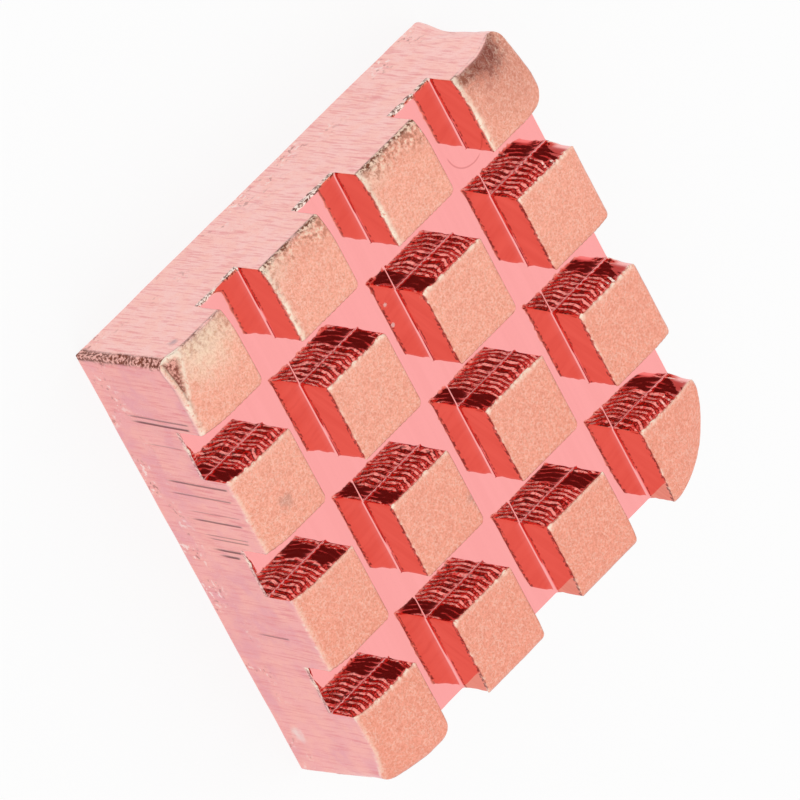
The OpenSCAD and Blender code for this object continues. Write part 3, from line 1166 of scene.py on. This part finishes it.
# Painted light: paler and yellower to the left, where the rolled tops catch more light, and darker and redder
# to the right.
painted_shade_to_right = ramp(maths("ADD", apart["X"], times(clouds, 3.0)), -5.5, 8.0)
patches = ramp(noise(place, 4.0, 2.0), 0.36, 0.64)
top_tint = blend(painted_shade_to_right, (1.0, 0.5, 0.38, 1), (0.96, 0.415, 0.305, 1))
top_tint = layered(
    top_tint,
    (1, maths("MULTIPLY_ADD", patches, -0.25, 0.25), (0.84, 0.34, 0.25, 1)),
    *((strength, stain_and_light_patch(place, centre, size, ragged_by), colour)
      for centre, size, ragged_by, colour, strength in STAINS_AND_PAINTED_LIGHT))
# Painted shade: the tint darkens where the sand's bump is low.
sand_shade = vector_maths("MULTIPLY", top_tint, (0.83, 0.7, 0.63))
top_tint = blend(ramp(sand["Height"], 0.36, 0.6), sand_shade, top_tint)
curls = maths("ABSOLUTE", maths("SUBTRACT", noise(place, 6.0, 2.0, 0.6), 0.5))
top_tint = layered(
    top_tint,
    # Painted highlights on the flecks, and painted shade in the pits.
    (0.5, sand["Fleck"], (1.0, 0.73, 0.6, 1)),
    (0.4, sand["Pit"], (0.66, 0.24, 0.15, 1)),
    (0.36, ramp(curls, 0.04, 0.005), (1.0, 0.72, 0.6, 1)))
# Painted light and shade on the crinkles: dark where the foil noise is low and cream where it is high, the
# same noise that bumps them.
foil = noise(place, 8.0, 3.0, 0.62)
foil_light_and_shade = two_tone(foil, 0.4, 0.5, (0.5, 0.19, 0.12, 1), top_tint)
foil_light_and_shade = two_tone(foil, 0.53, 0.61, foil_light_and_shade, (1.0, 0.78, 0.61, 1))
top_tint = layered(
    top_tint,
    (0.75, crinkled, foil_light_and_shade),
    (0.55, stain_and_light_patch(place, BROWN_CENTRE, 1.25, 0.7), (0.3, 0.06, 0.045, 1)))
print("top of the skin ready, with", len(STAINS_AND_PAINTED_LIGHT) + 1, "stains")

# %% [markdown]
# ### The sides of the skin
#
# The sides are pinker and smoother than the tops, with lines up their height. The front is
# the redder one, with mauve clouds, and its lines are stronger in its upper half.

# %% Sides of the skin
lines = placed(lines_group, place=place, stretch=(20.0, 20.0, 1.2))
long_lines = placed(lines_group, place=place, stretch=(11.0, 11.0, 0.3))
front = ramp(apart["Y"], 0.12 - HALF_WIDTH, 0.02 - HALF_WIDTH)
upper = times(ramp(apart["Z"], 1.5, 2.6), front)
line_share = maths("MULTIPLY_ADD", upper, 0.25, 0.62)
side_tint = blend(front, (1.0, 0.6, 0.56, 1), (0.94, 0.435, 0.42, 1))
side_tint = layered(
    side_tint,
    (0.4, times(ramp(clouds, 0.42, 0.62), front), (0.74, 0.3, 0.4, 1)),
    (0.35, ramp(noise(place, 2.2, 3.0, 0.6), 0.4, 0.62), (1.0, 0.5, 0.4, 1)),
    (line_share, ramp(lines["Height"], 0.5, 0.68), (0.83, 0.28, 0.29, 1)),
    (0.4, ramp(long_lines["Height"], 0.56, 0.72), (0.8, 0.26, 0.26, 1)),
    # Painted highlights on the flecks, and painted shade in the pits.
    (0.8, sand["Fleck"], (1.0, 0.74, 0.66, 1)),
    (0.7, sand["Pit"], (0.84, 0.3, 0.28, 1)))
print("sides of the skin ready")

# %% [markdown]
# ### Scratches up the front
#
# Each of the dozen has its own place, length, width and depth, so they are a table, and
# the deepest wins where two cross.

# %% Scratches
SCRATCHES = (
    # place along X, from height, to height, width, depth
    (-4.61, 0.6, 3.0, 0.035, 0.7), (-4.45, 0.7, 2.95, 0.045, 1.0), (-3.77, 0.8, 2.25, 0.025, 0.35),
    (-2.65, 0.8, 3.15, 0.04, 0.85), (-2.27, 0.7, 3.05, 0.035, 0.6), (-1.76, 1.0, 3.05, 0.025, 0.35),
    (-1.5, 1.0, 2.95, 0.04, 0.85), (-1.05, 1.1, 2.9, 0.025, 0.5), (-0.94, 1.2, 2.85, 0.03, 0.6),
    (-0.6, 1.2, 2.37, 0.045, 1.0), (-0.42, 1.3, 2.2, 0.05, 1.0), (2.05, 1.1, 2.4, 0.035, 0.6),
)
cuts = 0.0
for at, low, high, width, depth in SCRATCHES:
    cut = placed(
        scratch_group, across=apart["X"], up=apart["Z"], at=at, low=low, high=high, width=width)["Cut"]
    cuts = maths("MAXIMUM", cuts, times(cut, depth))
cuts = times(cuts, front)
print(len(SCRATCHES), "scratches")

# %% [markdown]
# ### Specks, a nick and a smudge
#
# The lower part of the sides is peppered with clusters of dark specks and of glints. A
# nick marks the right end of the front, and a smudge the front end of the left side.

# %% Marks on the sides
NICK_CENTRE = (5.3, -HALF_WIDTH, 0.6)
SMUDGE_CENTRE = (-6.5, -5.65, 2.8)

low_band = ramp(apart["Z"], 1.3, 0.3)
clusters = times(low_band, ramp(noise(place, 1.1, 1.0), 0.46, 0.6))
speck_noise = noise(place, 7.0, 2.0)
side_tint = layered(
    side_tint,
    (0.9, cuts, (0.17, 0.05, 0.055, 1)),
    (0.6, times(ramp(speck_noise, 0.6, 0.66), clusters), (0.34, 0.12, 0.11, 1)),
    (0.7, times(ramp(speck_noise, 0.42, 0.37), clusters), (1.0, 0.82, 0.78, 1)),
    (0.75, stain_and_light_patch(place, NICK_CENTRE, 0.34), (0.92, 0.72, 0.68, 1)),
    (0.8, stain_and_light_patch(place, SMUDGE_CENTRE, 0.2), (0.5, 0.33, 0.36, 1)))
print("marks on the sides ready")

# %% [markdown]
# ### Closing the skin
#
# Broken copper is painted in two tones: dark in its hollows, partly torn copper and partly
# painted shade, and pale on its crests as a painted highlight. One crumbly noise makes it all.
# It is laid over the top and the sides alike.

# %% Close the skin
SAND_HEIGHT = 0.012
LINE_HEIGHT = 0.003
CUT_DEPTH = 0.02
CRUMBLE_HEIGHT = 0.05

crumble = noise(place, 11.0, 3.0, 0.65)
skin_tint = layered(
    blend(side, top_tint, side_tint),
    # Torn copper, the facet, the chips and the crumbs: painted shade in the hollows and painted highlights on
    # the crests.
    (1, torn, two_tone(crumble, 0.44, 0.58, (0.24, 0.08, 0.045, 1), (1.0, 0.73, 0.57, 1))),
    (1, fallen, two_tone(crumble, 0.42, 0.62, (0.3, 0.09, 0.065, 1), (0.9, 0.45, 0.37, 1))),
    # Painted shade: the far edges of the tops, under the lips and in the groove.
    (1, dark, (0.2, 0.07, 0.045, 1)),
    (1, chip, two_tone(crumble, 0.46, 0.6, (0.24, 0.07, 0.045, 1), (0.95, 0.5, 0.44, 1))),
    (1, ramp(crumbs, 0.15, 0.45), two_tone(crumble, 0.44, 0.56, *TORN_COPPER_SHADE_AND_GLINT)),
    # Pale lips and rims, broken up: bare copper painted paler as a highlight.
    (ramp(crumble, 0.34, 0.5), pale, (1.0, 0.84, 0.69, 1)))

height = mix(side, times(sand["Height"], SAND_HEIGHT), times(lines["Height"], LINE_HEIGHT))
height = maths("MULTIPLY_ADD", cuts, -CUT_DEPTH, height)
crumbled = times(maths("MAXIMUM", torn, chip), crumble)
height = maths("MULTIPLY_ADD", crumbled, CRUMBLE_HEIGHT, height)
height = maths("MULTIPLY_ADD", times(crinkled, foil), CRUMBLE_HEIGHT, height)
put(shader.inputs["Roughness"], ramp(side, 0.0, 1.0, 0.5, 0.3, "LINEAR"))
dress(shader, skin_tint, height)
print("rolled skin ready")

# %% [markdown]
# ### The underside
#
# It is hidden. Such a block is lapped flat there, which leaves fine lines along it.

# %% Finish: ground face
ground_copper, shader, place = copper_material("ground face", 0.22)
lines = placed(lines_group, place=place, stretch=(0.4, 26.0, 1.0))
tint = blend(lines["Streak"], (0.9, 0.45, 0.38, 1), (0.82, 0.38, 0.31, 1))
dress(shader, tint, times(lines["Height"], 0.002))
print("ground face ready")

# %% [markdown]
# ## Dressing the block
#
# The finishes go on in the order in which the faces were numbered. The block rides on the
# imported model's one body and stands in for its one node.

# %% Dress the block and hide the part it stands for
for material in (floor_copper, wall_copper, chatter_copper, skin_copper, ground_copper):
    block.data.materials.append(material)
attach(block, "root")
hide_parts("heat_sink")
print([material.name for material in block.data.materials])

# %% [markdown]
# ## Closing
#
# The box of the finished surface is printed, in millimetres. It has to stay inside the CAD
# box, because sizes come from the CAD model alone.

# %% Write the sizes and close
low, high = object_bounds()
print("visual box, mm:", [round(1000 * v, 3) for v in low], [round(1000 * v, 3) for v in high])
